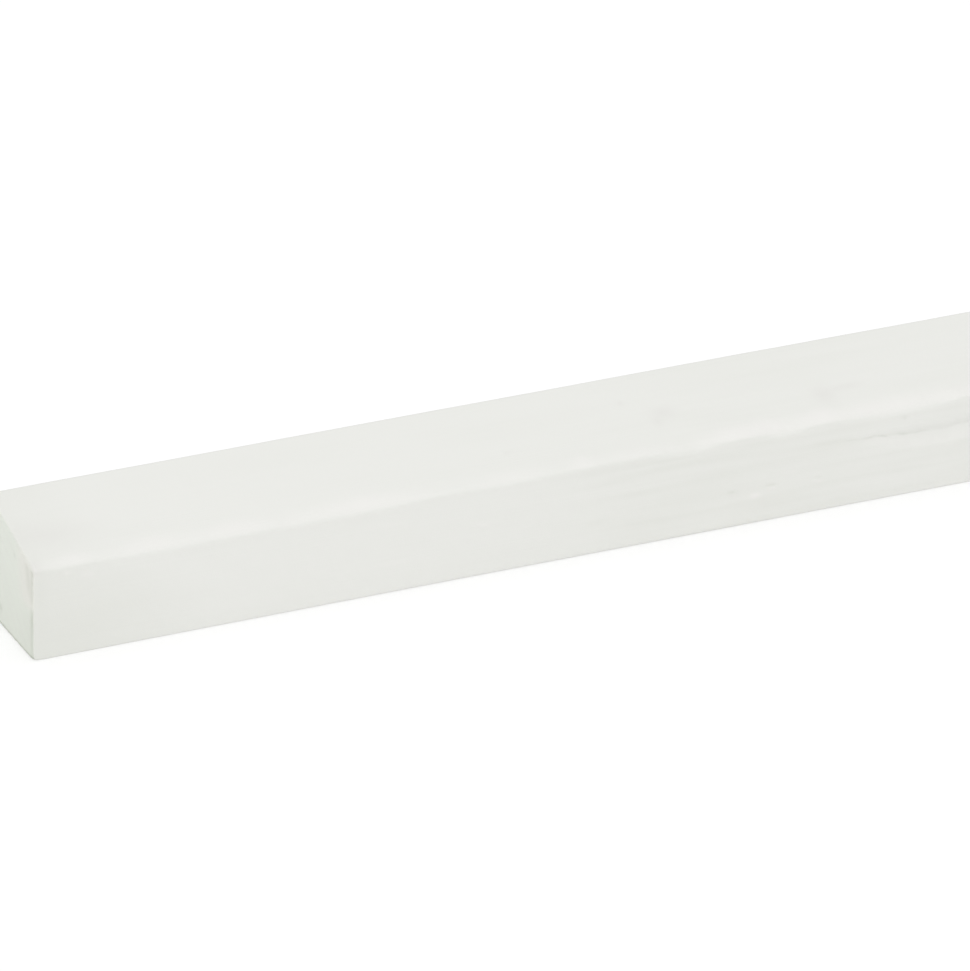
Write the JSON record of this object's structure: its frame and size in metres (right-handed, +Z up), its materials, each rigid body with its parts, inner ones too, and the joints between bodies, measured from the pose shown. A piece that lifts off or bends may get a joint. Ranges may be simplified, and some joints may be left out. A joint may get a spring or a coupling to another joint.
{
  "type": "glazing bead",
  "caption": "Straight white primed wooden glazing bead with a weathered top and an eased front arris, cut square at both ends.",
  "frame": {"origin": "middle of the underside, the face that lies on the window's rebate", "axes": "+X along the grain, +Y back to the glass, +Z up off the rebate"},
  "size_m": [0.15, 0.015, 0.0169],
  "materials": {
    "white_primer": "thin brushed coat of eggshell white primer on planed softwood, with the grain faintly raised along the length and the sawn ends a little greyer"
  },
  "bodies": {
    "root": {"glazing_bead": "white_primer"}
  },
  "joints": []
}
